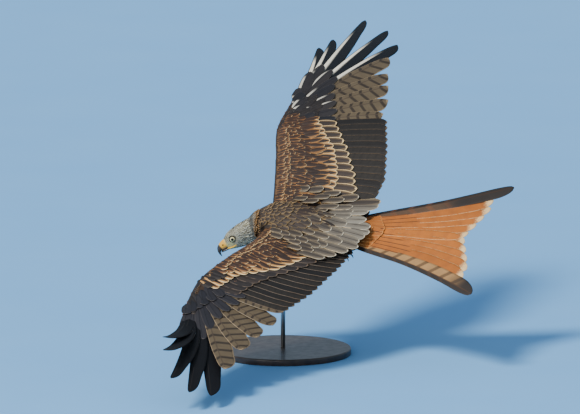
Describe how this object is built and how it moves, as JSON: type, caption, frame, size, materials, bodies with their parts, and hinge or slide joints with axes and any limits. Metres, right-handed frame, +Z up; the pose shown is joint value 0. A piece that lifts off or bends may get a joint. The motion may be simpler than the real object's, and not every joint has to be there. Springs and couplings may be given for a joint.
{
  "type": "red kite bird model on a stand",
  "caption": "Life-size bird of prey in a banked glide, wings spread and tail fanned and forked, on a rod and a round base.",
  "frame": {"origin": "middle of the round base's underside, where the stand rests on the floor", "axes": "+Z up from the floor; the bird glides towards -X and a little towards +Y, with its left wing low on the -Y side and its right wing high on the +Y side"},
  "size_m": [0.7681, 1.3814, 0.6341],
  "materials": {
    "plumage_grey": "soft feathers",
    "plumage_mantle": "soft feathers",
    "plumage_tail": "smooth feathers",
    "plumage_wing": "smooth feathers",
    "plumage_thigh": "soft feathers",
    "eye": "polished",
    "cere": "satin",
    "horn": "satin",
    "leg_skin": "satin",
    "stand_base": "satin black",
    "stand_rod": "brushed"
  },
  "bodies": {
    "root": {"head": "plumage_grey", "neck": "plumage_grey", "torso": "plumage_mantle", "tail": "plumage_tail", "wing_left": "plumage_wing", "wing_right": "plumage_wing", "leg_left": "plumage_thigh", "leg_right": "plumage_thigh", "eye_left": "eye", "eye_right": "eye", "cere": "cere", "bill_upper": "horn", "bill_lower": "horn", "foot_left": "leg_skin", "foot_right": "leg_skin", "stand_base": "stand_base", "stand_rod": "stand_rod", "claw_left_1": "horn", "claw_left_2": "horn", "claw_left_3": "horn", "claw_left_4": "horn", "claw_right_1": "horn", "claw_right_2": "horn", "claw_right_3": "horn", "claw_right_4": "horn"}
  },
  "joints": []
}
